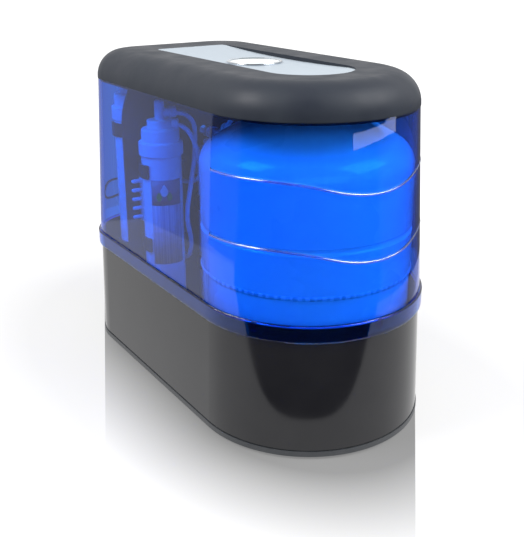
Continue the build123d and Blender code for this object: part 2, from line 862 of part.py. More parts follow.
def spring_clip(x, y, z_low, face_y):
    """A C-shaped clip round a cartridge, with its stem on the plate's face at face_y."""
    inside = body_radius + label_thickness + slip_gap
    z_high = z_low + clip_height
    clip = upright(inside + clip_wall, z_low, z_high, x, y)
    away = -90 if face_y > y else 90
    reach = inside + clip_wall / 2
    stem_low, stem_high = sorted((y - reach if away > 0 else y + reach, face_y))
    stem_middle = (z_low + z_high) / 2
    stem_half = clip_height / 3
    clip += block(x - clip_stem / 2, x + clip_stem / 2, stem_low, stem_high,
                  stem_middle - stem_half, stem_middle + stem_half)
    clip -= upright(inside, z_low, z_high, x, y)
    return clip - wedge(x, y, away, clip_half_opening, z_low, z_high)


clip_levels = {
    "a": front_clip_levels,
    "b": (rear_clip_level, head_level + rear_filter_lift - rear_clip_room - clip_height),
    "c": short_clip_levels,
    "d": short_clip_levels,
}


def filter_clips():
    clips = []
    for letter, (x, y, _, _) in filters.items():
        levels = clip_levels[letter]
        face_y = plate_back if letter == "b" else plate_place
        clips += [spring_clip(x, y, level, face_y) for level in levels]
    return clips


def elbow(x, y, seat_z, heading, up, crown=0):
    """A push-fit elbow on or under a seat: its branch lies along heading, its crown rises past the branch."""
    level = seat_z + up * elbow_rise
    far = level + up * (elbow_radius + crown)
    body = upright(elbow_radius, min(seat_z, far), max(seat_z, far), x, y)
    body = fillet(body.edges().group_by(Axis.Z)[-1 if up > 0 else 0], elbow_radius * 0.6)
    body += lying(fitting_radius, (x, y, level), heading, elbow_reach)
    collar = ahead(x, y, heading, elbow_reach - fitting_collar_length)
    body += lying(fitting_collar, (*collar, level), heading, fitting_collar_length)
    shank_end = seat_z - up * elbow_shank_length
    body += upright(elbow_shank, min(seat_z, shank_end), max(seat_z, shank_end), x, y)
    body -= upright(flow_radius, min(level, shank_end), max(level, shank_end), x, y)
    body -= lying(flow_radius, (x, y, level), heading, elbow_reach)
    socket = ahead(x, y, heading, elbow_reach - socket_depth)
    return body - lying(socket_radius, (*socket, level), heading, socket_depth + cut_over)


def push_fit_fittings():
    elbows = []
    for letter, (x, y, _, _) in filters.items():
        crown = first_crown if letter == "a" else 0
        elbows.append(elbow(x, y, head_top_z(letter), elbow_headings[letter], 1, crown))
    x, y, bottom, _ = filters["c"]
    elbows.append(elbow(x, y, bottom, 90, -1))
    elbows.append(line_sleeve())
    return elbows


def line_sleeve():
    """The check valve's sleeve on the straight stretch of the tank tube."""
    low, high = [Vector(*point) for point in routed(tank_route)[1:3]]
    middle = low + (high - low) * sleeve_share
    turned = Plane(origin=middle, z_dir=high - low)
    sleeve = turned * Cylinder(sleeve_radius, sleeve_length)
    sleeve = fillet(sleeve.edges(), head_fillet)
    return sleeve - turned * Cylinder(socket_radius, sleeve_length + 2 * cut_over)


def tee_middle():
    """Middle of the tee between the third and fourth sets."""
    x = (filters["c"][0] + filters["d"][0]) / 2
    return x, front_row_y, head_top_z("c") - cap_neck_height / 2


def tank_tee():
    """A stem tee in the two side ports, with its branch towards the tank."""
    x, y, level = tee_middle()
    left = filters["c"][0] + side_port_reach + slip_gap
    right = filters["d"][0] - side_port_reach - slip_gap
    stem = right - left + 2 * (socket_depth - slip_gap)
    tee = lying(fitting_radius, (left, y, level), 0, right - left)
    tee += lying(tube_radius, (x - stem / 2, y, level), 0, stem)
    tee += lying(fitting_radius, (x, y, level), -90, elbow_reach)
    tee -= lying(flow_radius, (x - stem / 2, y, level), 0, stem)
    tee -= lying(flow_radius, (x, y, level), -90, elbow_reach)
    return tee - lying(socket_radius, (x, y - elbow_reach + socket_depth, level), -90,
                       socket_depth + cut_over)


# Rear ports

def bulkhead_port(x):
    outer = pocket_floor_y + port_outer_length
    inner = pocket_floor_y - pocket_wall
    port = lying(port_barrel_radius, (x, outer, pocket_level), -90, port_outer_length)
    port += lying(port_shank_radius, (x, outer, pocket_level), -90, outer - port_inner_y)
    port -= lying(flow_radius, (x, outer + cut_over, pocket_level), -90,
                  outer - port_inner_y + 2 * cut_over)
    port -= lying(socket_radius, (x, outer + cut_over, pocket_level), -90, socket_depth + cut_over)
    port -= lying(collet_radius + touch_gap, (x, outer + cut_over, pocket_level), -90,
                  collet_depth + cut_over)
    port -= lying(socket_radius, (x, port_inner_y - cut_over, pocket_level), 90,
                  socket_depth + cut_over)
    hexagon = Plane((x, inner, pocket_level), x_dir=(1, 0, 0), z_dir=(0, -1, 0))
    nut = extrude(hexagon * RegularPolygon(nut_radius, 6), amount=nut_height)
    nut -= lying(port_shank_radius + screw_gap, (x, inner + cut_over, pocket_level), -90,
                 nut_height + 2 * cut_over)
    return [port, nut]


def bulkhead_ports():
    return [bulkhead_port(x)[0] for x in port_places]


def bulkhead_nuts():
    return [bulkhead_port(x)[1] for x in port_places]


def port_collet(number):
    x = port_places[number]
    mouth = pocket_floor_y + port_outer_length
    flange = mouth + collet_travel
    collet = lying(collet_flange_radius, (x, flange, pocket_level), 90, collet_flange)
    sleeve = collet_depth - slip_gap
    collet += lying(collet_radius, (x, flange + touch_gap, pocket_level), -90, sleeve + touch_gap)
    return collet - lying(socket_radius + collet_bore_gap, (x, flange - sleeve - cut_over, pocket_level),
                          90, sleeve + collet_flange + 2 * cut_over)


def power_jack():
    front = pocket_floor_y + jack_flange
    jack = lying(jack_flange_radius, (jack_place, front, pocket_level), -90, jack_flange)
    jack += lying(jack_radius, (jack_place, front, pocket_level), -90, jack_flange + jack_length)
    jack -= lying(jack_bore, (jack_place, front + cut_over, pocket_level), -90, jack_depth + cut_over)
    return jack + lying(jack_pin, (jack_place, front, pocket_level), -90, jack_depth)


# Booster pump

def pump_motor_can():
    can = upright(motor_radius, pump_bottom, pump_head_z, pump_place_x, pump_y)
    can = fillet(can.edges().group_by(Axis.Z)[0], 2 * motor_wall)
    can -= upright(motor_radius - motor_wall, pump_bottom + motor_wall, pump_head_z - motor_wall,
                   pump_place_x, pump_y)
    for low in (pump_bottom + motor_wall, pump_head_z - motor_wall - bearing_height):
        can += upright(bearing_radius + 2 * motor_wall, low, low + bearing_height, pump_place_x, pump_y)
        can -= upright(bearing_radius + touch_gap, low, low + bearing_height, pump_place_x, pump_y)
    return can - upright(shaft_radius + 2 * motor_wall, pump_head_z - motor_wall - cut_over,
                         pump_head_z + cut_over, pump_place_x, pump_y)


def pump_bearings():
    rings = []
    for low in (pump_bottom + motor_wall, pump_head_z - motor_wall - bearing_height):
        ring = upright(bearing_radius, low, low + bearing_height, pump_place_x, pump_y)
        rings.append(ring - upright(shaft_radius + shaft_gap, low, low + bearing_height, pump_place_x, pump_y))
    return rings


def pump_rotor():
    middle = (pump_bottom + pump_head_z) / 2
    low = middle - rotor_height / 2
    rotor = upright(rotor_radius, low, low + rotor_height, pump_place_x, pump_y)
    return rotor + upright(shaft_radius, pump_bottom + motor_wall + slip_gap,
                           pump_head_z + pump_cavity - slip_gap, pump_place_x, pump_y)


def pump_magnets():
    height = rotor_height + 2 * motor_wall
    low = (pump_bottom + pump_head_z) / 2 - height / 2
    ring = upright(motor_radius - motor_wall - touch_gap, low, low + height, pump_place_x, pump_y)
    ring -= upright(rotor_radius + 2 * slip_gap, low, low + height, pump_place_x, pump_y)
    gap = block(pump_place_x - 2 * motor_wall, pump_place_x + 2 * motor_wall, pump_y - motor_radius,
                pump_y + motor_radius, low, low + height)
    return (ring - gap).solids()


def pump_port_level():
    return pump_head_z + pump_head_height * pump_port_level_share


def pump_head():
    head = upright(pump_head_radius, pump_head_z, pump_top_z, pump_place_x, pump_y)
    head = fillet(head.edges().group_by(Axis.Z)[-1], 2 * head_fillet)
    level = pump_port_level()
    reach = pump_head_radius + fitting_radius
    head += lying(fitting_radius, (pump_place_x, pump_y, level), 180, reach)
    head += upright(fitting_radius, pump_top_z - head_fillet, pump_top_z + pump_spout, pump_place_x, pump_y)
    head -= upright(pump_cavity, pump_head_z - cut_over, pump_head_z + pump_cavity, pump_place_x, pump_y)
    head -= upright(flow_radius, pump_head_z, pump_top_z + pump_spout, pump_place_x, pump_y)
    head -= upright(socket_radius, pump_top_z + pump_spout - socket_depth, pump_top_z + pump_spout + cut_over,
                    pump_place_x, pump_y)
    head -= lying(flow_radius, (pump_place_x, pump_y, level), 180, reach)
    return head - lying(socket_radius, (pump_place_x - reach + socket_depth, pump_y, level), 180,
                        socket_depth + cut_over)


def pump_bands():
    bands = []
    inside = motor_radius + slip_gap
    for rise in band_levels:
        low = pump_bottom + rise
        high = low + band_height
        band = upright(inside + band_wall, low, high, pump_place_x, pump_y)
        band += block(pump_place_x - clip_stem, pump_place_x + clip_stem, plate_back,
                      pump_y - inside / 2, low, high)
        bands.append(band - upright(inside, low, high, pump_place_x, pump_y))
    return bands


# Inlet valve

valve_block_y = plate_back + valve_block_depth


def inlet_valve():
    x = port_places[0]
    z = pocket_level
    body = block(x - valve_block_width / 2, x + valve_block_width / 2, plate_back, valve_block_y,
                 z - valve_block_height / 2, z + valve_block_height / 2)
    body = fillet(body.edges().filter_by(Axis.Y), head_fillet)
    middle_y = (plate_back + valve_block_y) / 2
    top = z + valve_block_height / 2
    body += upright(fitting_radius, top - head_fillet, top + valve_spout, x, middle_y)
    body += lying(fitting_radius, (x, valve_block_y - head_fillet, z), 90, socket_depth + head_fillet)
    body -= lying(flow_radius, (x, middle_y, z), 90, valve_block_depth)
    body -= lying(socket_radius, (x, valve_block_y, z), 90, socket_depth + cut_over)
    body -= upright(flow_radius, z, top + valve_spout, x, middle_y)
    body -= upright(socket_radius, top + valve_spout - socket_depth, top + valve_spout + cut_over, x, middle_y)
    return body


def inlet_valve_coil():
    x = port_places[0] - valve_block_width / 2
    start = (x, (plate_back + valve_block_y) / 2, pocket_level)
    coil = lying(coil_radius, start, 180, coil_length)
    coil = fillet(coil.edges(), head_fillet)
    return coil + lying(core_pin_radius, start, 180, coil_length + 2 * head_fillet)


# Tubes and the lead

def swept(points, radius, bore):
    """A round tube along straight runs joined by tangent arcs, with its volume error."""
    vectors = [Vector(*point) for point in points]
    if len(vectors) == 2:
        path = Wire([Edge.make_line(vectors[0], vectors[1])])
        radii = []
    else:
        runs = [after - before for before, after in zip(vectors, vectors[1:])]
        radii = []
        for first, second in zip(runs, runs[1:]):
            turn = radians(first.get_angle(second))
            radii.append(arc_share * min(first.length, second.length) / tan(turn / 2))
        path = FilletPolyline(*vectors, radius=radii).wire()
    section = Plane(origin=path @ 0, z_dir=path % 0)
    solid = sweep(section * Circle(radius), path=path)
    area = pi * radius * radius
    if bore:
        solid -= sweep(section * Circle(bore), path=path)
        area -= pi * bore * bore
    error = solid.volume / (area * path.length) - 1
    print("tube length %.1f least radius %.1f volume error %.5f" %
          (path.length, min(radii, default=0), error))
    return solid


def along(x, y, z, heading, distance):
    return (*ahead(x, y, heading, distance), z)


def top_mouth(letter, more=0):
    """The tube's end inside a set's top elbow, or a point further out along it."""
    x, y, _, _ = filters[letter]
    reach = elbow_reach - socket_depth + slip_gap + more
    return along(x, y, head_top_z(letter) + elbow_rise, elbow_headings[letter], reach)


def side_mouth(letter, more=0):
    """The tube's end inside a set's side port, or a point further out along it."""
    x, y, _, _ = filters[letter]
    reach = side_port_reach - socket_depth + slip_gap + more
    return along(x, y, head_top_z(letter) - cap_neck_height / 2, side_headings[letter], reach)


def port_mouth(number, more=0):
    """The tube's end inside a rear port, or a point further in along it."""
    return (port_places[number], port_inner_y + socket_depth - slip_gap - more, pocket_level)


# Hand-set points of each route, as places from the middle of the plate's back at the floor
rise_route = [(-52, 12, 100.5), (-45, 12, 122.5), (-43.5, 12.5, 155), (-43, 13, 212), (-31, 17, 262),
              (-21, 21, 312)]
cross_rear_route = [(-14, 38, 350), (-4, 36, 310), (-8, 29, 262), (-33, 21, 215)]
cross_front_route = [(-17, -51, 220.5), (-23, -59, 265)]
feed_pump_route = [(-21, -45, 265), (-33, -49, 217), (-46, -59, 181), (-35, -53, 142),
                   (-31, -35, 113), (-28, -5, 104), (-24, 20, 106), (-12, 38, 117)]
pump_filter_route = [(60, 39, 209), (48, 33, 252), (26, 27, 276)]
tank_route = [(30, -85, 280), (-4, -91, 296), (-38, -151, 320.5), (-20, -181, 351)]
product_route = [(84, 27, 277), (91, 41, 252), (90, 49, 216), (70, 57, 186), (36, 57, 162),
                 (4, 55, 146), (-8, 39, 130), (-3, 17, 112), (-2, 14, 64.5)]
drain_route = [(2, 27, 34), (-18, 21, 48)]
lead_route = [(16, 39, 55), (12, 37, 39), (14, 39, 28)]


def routed(points):
    """The hand-set points in the row frame."""
    return [(x, plate_back + y, floor_z + z) for x, y, z in points]


def tube(points):
    return swept(points, tube_radius, tube_bore)


def inlet_tube():
    start = (port_places[0], valve_block_y + slip_gap, pocket_level)
    return tube([start, port_mouth(0)])


def first_filter_tube():
    x = port_places[0]
    y = (plate_back + valve_block_y) / 2
    start = (x, y, pocket_level + valve_block_height / 2 + valve_spout - socket_depth + slip_gap)
    return tube([start] + routed(rise_route) + [side_mouth("b", lead_out), side_mouth("b")])


def second_filter_tube():
    start = [top_mouth("b"), top_mouth("b", lead_out)]
    end = [side_mouth("a", side_corner), side_mouth("a")]
    return tube(start + routed(cross_rear_route + cross_front_route) + end)


def pump_feed_tube():
    start = [top_mouth("a"), top_mouth("a", feed_corner)]
    level = pump_port_level()
    reach = pump_head_radius + fitting_radius - socket_depth + slip_gap
    end = [(pump_place_x - reach - lead_out, pump_y, level), (pump_place_x - reach, pump_y, level)]
    return tube(start + routed(feed_pump_route) + end)


def membrane_feed_tube():
    low = pump_top_z + pump_spout - socket_depth + slip_gap
    start = [(pump_place_x, pump_y, low), (pump_place_x, pump_y, low + lead_out)]
    end = [top_mouth("c", plate_crossing), top_mouth("c")]
    return tube(start + routed(pump_filter_route) + end)


def tank_tube():
    x, y, level = tee_middle()
    mouth_y = y - elbow_reach + socket_depth - slip_gap
    start = [(x, mouth_y, level), (x, mouth_y - lead_out, level)]
    mouth = nose_y + elbow_reach - socket_depth + slip_gap
    end = [(0, mouth + plate_crossing, ball_z), (0, mouth, ball_z)]
    return tube(start + routed(tank_route) + end)


def product_tube():
    start = [top_mouth("d"), top_mouth("d", plate_crossing)]
    return tube(start + routed(product_route) + [port_mouth(2)])


def drain_tube():
    x, y, bottom, _ = filters["c"]
    start_y = y + elbow_reach - socket_depth + slip_gap
    level = bottom - elbow_rise
    start = [(x, start_y, level), (x, start_y + plate_crossing, level)]
    return tube(start + routed(drain_route) + [port_mouth(1, plate_crossing), port_mouth(1)])


def power_lead():
    start_y = pocket_floor_y - jack_length - touch_gap
    start = [(jack_place, start_y, pocket_level), (jack_place, start_y - lead_straight, pocket_level)]
    end_x = pump_place_x - motor_radius - touch_gap
    end_z = pump_bottom + band_levels[0] / 2
    end = [(end_x - lead_straight, pump_y, end_z), (end_x, pump_y, end_z)]
    return swept(start + routed(lead_route) + end, lead_radius, 0)


def all_parts():
    parts = {
        "base_plate": base_plate(),
        "rubber_feet": rubber_feet(),
        "case_screws": case_screws(),
        "lower_shell": lower_shell(),
        "rim_seal": rim_seal(),
        "transparent_cover": transparent_cover(),
        "top_lid": top_lid(),
        "lid_panel": lid_panel(),
        "badge_ring": badge_ring(),
        "badge_dome": badge_dome(),
        "tank_upper_shell": tank_upper_shell(),
        "tank_lower_shell": tank_lower_shell(),
        "tank_weld_bead": tank_weld_bead(),
        "tank_bladder": tank_bladder(),
        "tank_air_valve": tank_air_valve(),
        "tank_cradle": tank_cradle(),
        "tank_neck": tank_neck(),
        "tank_valve_body": tank_valve_body(),
        "tank_valve_ball": tank_valve_ball(),
        "tank_valve_lever": tank_valve_lever(),
        "chassis_plate": chassis_plate(),
        "tube_comb": tube_comb(),
        "filter_clips": filter_clips(),
        "push_fit_fittings": push_fit_fittings(),
        "tank_tee": tank_tee(),
        "bulkhead_ports": bulkhead_ports(),
        "bulkhead_nuts": bulkhead_nuts(),
        "power_jack": power_jack(),
        "pump_motor_can": pump_motor_can(),
        "pump_bearings": pump_bearings(),
        "pump_rotor": pump_rotor(),
        "pump_magnets": pump_magnets(),
        "pump_head": pump_head(),
        "pump_bands": pump_bands(),
        "inlet_valve": inlet_valve(),
        "inlet_valve_coil": inlet_valve_coil(),
        "inlet_tube": inlet_tube(),
        "first_filter_tube": first_filter_tube(),
        "second_filter_tube": second_filter_tube(),
        "pump_feed_tube": pump_feed_tube(),
        "membrane_feed_tube": membrane_feed_tube(),
        "tank_tube": tank_tube(),
        "product_tube": product_tube(),
        "drain_tube": drain_tube(),
        "power_lead": power_lead(),
    }
    for letter in filters:
        parts["filter_head_" + letter] = filter_head(letter)
        parts["filter_cartridge_" + letter] = filter_cartridge(letter)
        parts["filter_media_" + letter] = filter_media(letter)
    for number, name in enumerate(("feed", "drain", "product")):
        parts[name + "_collet"] = port_collet(number)
    return parts


def write_parts(parts):
    os.makedirs("parts", exist_ok=True)
    for name, shape in parts.items():
        solids = shape if isinstance(shape, list) else shape.solids()
        solids = [solid for piece in solids for solid in piece.solids()]
        whole = solids[0] if len(solids) == 1 else Compound(children=solids)
        export_step(whole, "parts/" + name + ".step")


if __name__ == "__main__":
    write_parts(all_parts())
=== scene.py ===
import json
from math import cos, log, pi, radians, sin, sqrt

import bpy
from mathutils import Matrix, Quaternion, Vector


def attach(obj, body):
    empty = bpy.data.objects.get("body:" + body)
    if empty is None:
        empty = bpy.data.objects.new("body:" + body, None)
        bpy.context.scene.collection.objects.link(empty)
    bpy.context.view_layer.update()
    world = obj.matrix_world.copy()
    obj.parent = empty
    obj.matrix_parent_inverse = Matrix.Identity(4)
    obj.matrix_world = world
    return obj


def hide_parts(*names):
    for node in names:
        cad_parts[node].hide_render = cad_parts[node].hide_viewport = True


# Camera of the photograph, in millimetres, degrees and pixels
camera_azimuth = -33.0
camera_elevation = 18.5
camera_distance = 1069.1
camera_target = (16.5, 4.3, 182.5)
camera_roll = -0.3
focal_pixels = 824.9
image_height = 537.0
shift_pixels = -40.0
sensor = 36.0
millimetre = 0.001

# Floor: tones, and distances in millimetres from the middle line of the case; the grey tone is a painted
# reflection of the case
floor_white = 0.26
# painted shade: the floor's own light is lower near the case than far from it
near_glow_painted_shade = 0.58
far_glow = 1.0
far_glow_reach = 650.0
# painted reflection of the case on the floor: its grey tone, its share and how far it reaches
painted_reflection_tone = 0.06
painted_reflection_share = 0.7
case_reach = 136.0
painted_reflection_reach = 250.0
rear_centre_y = 115.0
end_share = 0.8

# The painted reflection lies between two headings in degrees, seen from a point on the floor
painted_reflection_foot = (-630.0, -992.0)
painted_reflection_headings = (47.1, 67.3)

# Stage, in metres and degrees
floor_size = 20.0
room_light = 0.7
far_reach = 8.0
far_card_level = -0.006
far_card_light = 0.62
near_card_level = -0.005
near_card_light = 0.9
near_card_edges = [((-0.776, 0.157), (-0.776, -0.4)), ((-0.678, 0.340), (-0.4, -0.7)),
                   ((-0.497, 0.514), (0.0, -0.7)), ((-0.471, 0.760), (0.40, -0.55)),
                   ((0.30, 0.80), (0.56, 0.1))]
sector_steps = 48
bow_power = 3
lamp_aim = 0.3

# Ring cards: near radius, far radius, first heading, last heading, near level, far level, bow, light
ring_cards = {
    "side_card": (0.84, far_reach, 128.0, 172.0, -0.004, -0.004, 0.0, 0.2),
    "right_card": (0.62, far_reach, -60.0, 50.0, -0.004, -0.004, 0.0, 0.16),
    "dark_card": (0.23, far_reach, 166.0, 306.0, -0.003, -0.003, 0.5, 0.02),
    "dark_wall": (3.0, 3.0, 190.0, 315.0, 0.0, 5.0, 0.0, 0.03),
    "window_card": (2.5, 3.1, -82.0, -31.0, -0.002, -0.002, 0.0, 3.0),
}

# Lamps: heading, elevation, distance, width, height, brightness, and whether gloss shows them
lamps = {
    "left_window": (163.0, 45.0, 1.6, 0.7, 0.8, 13.0, True),
    "right_window": (-50.0, 44.0, 1.6, 1.15, 0.85, 10.0, True),
    "front_fill": (-112.0, 16.0, 2.2, 2.0, 0.9, 4.2, False),
}

# Cover: the share of red, green and blue light left after one wall, and the wall in millimetres
wall_tint = (0.12, 0.46, 0.97)
cover_wall = 2.5
cover_index = 1.49
skin_rough = 0.05
skin_gloss = 0.22
sway_scale = 9.0
sway_detail = 1.0
sway_strength = 0.1
sway_depth = 0.0004

# Surfaces: pattern scales per metre, depths in metres, and swings as shares of the roughness
plastic_index = 1.5
coat_rough = 0.05
blotch_scale = 60.0
blotch_detail = 3.0
grain_scale = 900.0
grain_detail = 2.0
grain_depth = 0.00002
grain_strength = 0.3
gloss_swing = 0.15
pattern_low = 0.3
pattern_high = 0.7
brushed_scales = (900.0, 14.0, 900.0)
brushed_detail = 2.0
brushed_strength = 0.15
brushed_swing = 0.2
brushed_metal = 0.4
stripe_scales = (700.0, 700.0, 2.0)
stripe_detail = 1.0

# Sockets of a node that mixes two colours
mix_first = 6
mix_second = 7
mix_result = 2

# Tubes and leads, in millimetres
tube_radius = 3.175
tube_rounding = 5
tube_steps = 10
lead_radius = 1.9
tied_lead_radius = 1.6
tied_lead_rounding = 4
tied_lead_steps = 12
curve_order = 3
tube_points = {
    "first_filter_tube": [(-52.0, 163.0, 83.3), (-52.0, 163.0, 106.0), (-45.0, 163.0, 128.0),
                          (-43.5, 163.5, 160.5), (-43.0, 164.0, 217.5), (-31.0, 168.0, 267.5),
                          (-21.0, 172.0, 317.5), (-35.28, 180.72, 348.25), (-58.57, 186.52, 348.25)],
    "second_filter_tube": [(-61.2, 189.5, 361.5), (-37.2, 189.5, 361.5), (-14.0, 189.0, 355.5),
                           (-4.0, 187.0, 315.5), (-8.0, 180.0, 267.5), (-33.0, 172.0, 220.5),
                           (-17.0, 100.0, 226.0), (-23.0, 92.0, 270.5), (-40.47, 93.88, 312.25),
                           (-57.81, 107.43, 312.25)],
    "pump_feed_tube": [(-58.29, 113.71, 325.5), (-20.66, 108.42, 325.5), (-21.0, 106.0, 270.5),
                       (-33.0, 102.0, 222.5), (-46.0, 92.0, 186.5), (-35.0, 98.0, 147.5),
                       (-31.0, 116.0, 118.5), (-28.0, 146.0, 109.5), (-24.0, 171.0, 111.5),
                       (-12.0, 189.0, 122.5), (14.7, 192.0, 127.2), (38.7, 192.0, 127.2)],
    "membrane_feed_tube": [(62.0, 192.0, 144.3), (62.0, 192.0, 168.3), (60.0, 190.0, 214.5),
                           (48.0, 184.0, 257.5), (26.0, 178.0, 281.5), (15.0, 160.3, 288.5),
                           (15.0, 124.3, 288.5)],
    "tank_tube": [(47.0, 105.7, 275.25), (47.0, 81.7, 275.25), (30.0, 66.0, 285.5), (-4.0, 60.0, 301.5),
                  (-38.0, 0.0, 326.0), (-20.0, -30.0, 356.5), (0.0, -69.7, 370.33), (0.0, -105.7, 370.33)],
    "product_tube": [(79.0, 124.3, 288.5), (79.0, 160.3, 288.5), (84.0, 178.0, 282.5), (91.0, 192.0, 257.5),
                     (90.0, 200.0, 221.5), (70.0, 208.0, 191.5), (36.0, 208.0, 167.5), (4.0, 206.0, 151.5),
                     (-8.0, 190.0, 135.5), (-3.0, 168.0, 117.5), (-2.0, 165.0, 70.0), (-2.0, 218.2, 70.0)],
    "drain_tube": [(15.0, 124.3, 36.0), (15.0, 160.3, 36.0), (2.0, 178.0, 39.5), (-18.0, 172.0, 53.5),
                   (-27.0, 182.2, 70.0), (-27.0, 218.2, 70.0)],
    "power_lead": [(20.0, 210.95, 70.0), (20.0, 198.95, 70.0), (16.0, 190.0, 60.5), (12.0, 188.0, 44.5),
                   (14.0, 190.0, 33.5), (22.95, 192.0, 31.0), (34.95, 192.0, 31.0)],
}
tied_lead_points = [(-74.0, 217.0, 199.0), (-98.0, 209.0, 195.0), (-117.0, 194.0, 199.0),
                    (-121.0, 189.0, 210.0), (-115.0, 191.0, 222.0), (-98.0, 207.0, 222.0),
                    (-74.0, 217.0, 217.0)]

# Label round the first cartridge, in millimetres and degrees
filter_a = (-67.5, 115.0)
cartridge_radius = 26.5
label_lift = 0.02
label_thickness = 0.12
print_thickness = 0.06
label_heading = -104.0
label_half_turn = 46.0
label_low = 126.0
label_split = 207.5
label_high = 241.5
drop_heading = -112.0
drop_level = 228.0
drop_height = 17.0
drop_half_turn = 11.0
drop_pinch = 0.8
leaf_turn = 15.0
leaf_height = 12.0
leaf_half_turn = 8.0
leaf_pinch = 0.5
edge_turn = 0.15
patch_steps = 24
spot_rows = 14

# Wave lines of the cover, in millimetres
nose_y = -115.0
nose_radius = 130.0
cover_low_level = 157.0
cover_high_level = 366.0
cover_low_out = 2.4
cover_high_out = -7.7
wave_levels = {"wave_lip_high": 308.0, "wave_lip_low": 237.0}
wave_dip = 16.0
wave_half_span = 110.0
bead_radius = 1.2
bead_rounding = 4
bead_depth = 0.7
bead_drop = 1.1
bead_steps = 180
bead_rounds = 3

# Weld round the tank, in millimetres: its ripples are two waves, the second one lower and longer
weld_level = 182.0
weld_radius = 120.6
weld_half_depth = 0.9
weld_half_height = 2.3
weld_ripple = 0.22
weld_ripple_count = 90
second_ripple_height = 0.6
second_ripple_pace = 0.37
second_ripple_start = 1.0
weld_steps = 1800
weld_sides = 10

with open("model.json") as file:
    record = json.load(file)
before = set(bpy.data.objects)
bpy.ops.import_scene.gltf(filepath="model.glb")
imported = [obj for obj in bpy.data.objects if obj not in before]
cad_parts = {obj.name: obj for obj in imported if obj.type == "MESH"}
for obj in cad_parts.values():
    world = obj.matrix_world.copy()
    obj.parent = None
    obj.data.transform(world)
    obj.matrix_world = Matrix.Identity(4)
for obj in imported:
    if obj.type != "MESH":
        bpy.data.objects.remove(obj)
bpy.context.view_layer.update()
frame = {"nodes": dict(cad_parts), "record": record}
nodes = frame["nodes"]


def material(name):
    """A new node material, its tree and its shader node."""
    made = bpy.data.materials.new(name)
    made.use_nodes = True
    return made, made.node_tree, made.node_tree.nodes["Principled BSDF"]


def tune(node, **values):
    """Set inputs of a node by their names, with an underscore for each space."""
    for key, value in values.items():
        node.inputs[key.replace("_", " ")].default_value = value


def add(tree, kind, **values):
    """A new node with its inputs set by name."""
    node = tree.nodes.new(kind)
    tune(node, **values)
    return node


def feed(tree, node, *values):
    """Give a node's inputs, in their order, numbers or other nodes' outputs, and return its outputs."""
    for socket, value in zip(node.inputs, values):
        if isinstance(value, bpy.types.NodeSocket):
            tree.links.new(value, socket)
        else:
            socket.default_value = value
    return node.outputs


def maths(tree, operation, *values):
    """The result of a sum on numbers or other nodes' outputs."""
    node = tree.nodes.new("ShaderNodeMath")
    node.operation = operation
    return feed(tree, node, *values)[0]


def vector_maths(tree, operation, *values):
    """The outputs of a sum on places or other nodes' outputs."""
    node = tree.nodes.new("ShaderNodeVectorMath")
    node.operation = operation
    return feed(tree, node, *values)


def ranged(tree, source, start, end, low, high):
    """A number that goes from low to high while its source goes from start to end."""
    return feed(tree, add(tree, "ShaderNodeMapRange"), source, start, end, low, high)["Result"]


def spread(tree, pattern, low, high):
    """A number that follows a pattern between low and high."""
    return ranged(tree, pattern, pattern_low, pattern_high, low, high)


def noise(tree, scale, detail):
    """A noise pattern in the object's own metres."""
    place = add(tree, "ShaderNodeTexCoord")
    pattern = add(tree, "ShaderNodeTexNoise", Scale=scale, Detail=detail)
    tree.links.new(place.outputs["Object"], pattern.inputs["Vector"])
    return pattern.outputs["Fac"]


def drawn_out_noise(tree, scales, detail):
    """A noise pattern with its own scale along each axis of the object."""
    place = add(tree, "ShaderNodeTexCoord")
    squeeze = add(tree, "ShaderNodeMapping", Scale=scales)
    pattern = add(tree, "ShaderNodeTexNoise", Scale=1.0, Detail=detail)
    tree.links.new(place.outputs["Object"], squeeze.inputs["Vector"])
    tree.links.new(squeeze.outputs["Vector"], pattern.inputs["Vector"])
    return pattern.outputs["Fac"]


def two_tone(tree, pattern, first, second):
    """A colour that follows a pattern between two colours."""
    mix = tree.nodes.new("ShaderNodeMix")
    mix.data_type = "RGBA"
    mix.inputs[mix_first].default_value = (*first, 1)
    mix.inputs[mix_second].default_value = (*second, 1)
    tree.links.new(spread(tree, pattern, 0.0, 1.0), mix.inputs["Factor"])
    return mix.outputs[mix_result]


def bump(tree, shader, pattern, strength, depth):
    """Small heights and hollows that follow a pattern."""
    node = add(tree, "ShaderNodeBump", Strength=strength, Distance=depth)
    tree.links.new(pattern, node.inputs["Height"])
    tree.links.new(node.outputs["Normal"], shader.inputs["Normal"])


def plain(name, colour, other, rough, scale=blotch_scale, grain=grain_scale, depth=grain_depth,
          metal=0.0, coat=0.0, ior=plastic_index):
    """A moulded or painted surface: faint blotches in its colour and gloss over a fine grain."""
    made, tree, shader = material(name)
    broad = noise(tree, scale, blotch_detail)
    fine = noise(tree, grain, grain_detail)
    gloss = spread(tree, broad, rough * (1 - gloss_swing), rough * (1 + gloss_swing))
    tree.links.new(two_tone(tree, broad, colour, other), shader.inputs["Base Color"])
    tree.links.new(gloss, shader.inputs["Roughness"])
    bump(tree, shader, fine, grain_strength, depth)
    tune(shader, Metallic=metal, Coat_Weight=coat, Coat_Roughness=coat_rough, IOR=ior)
    return made


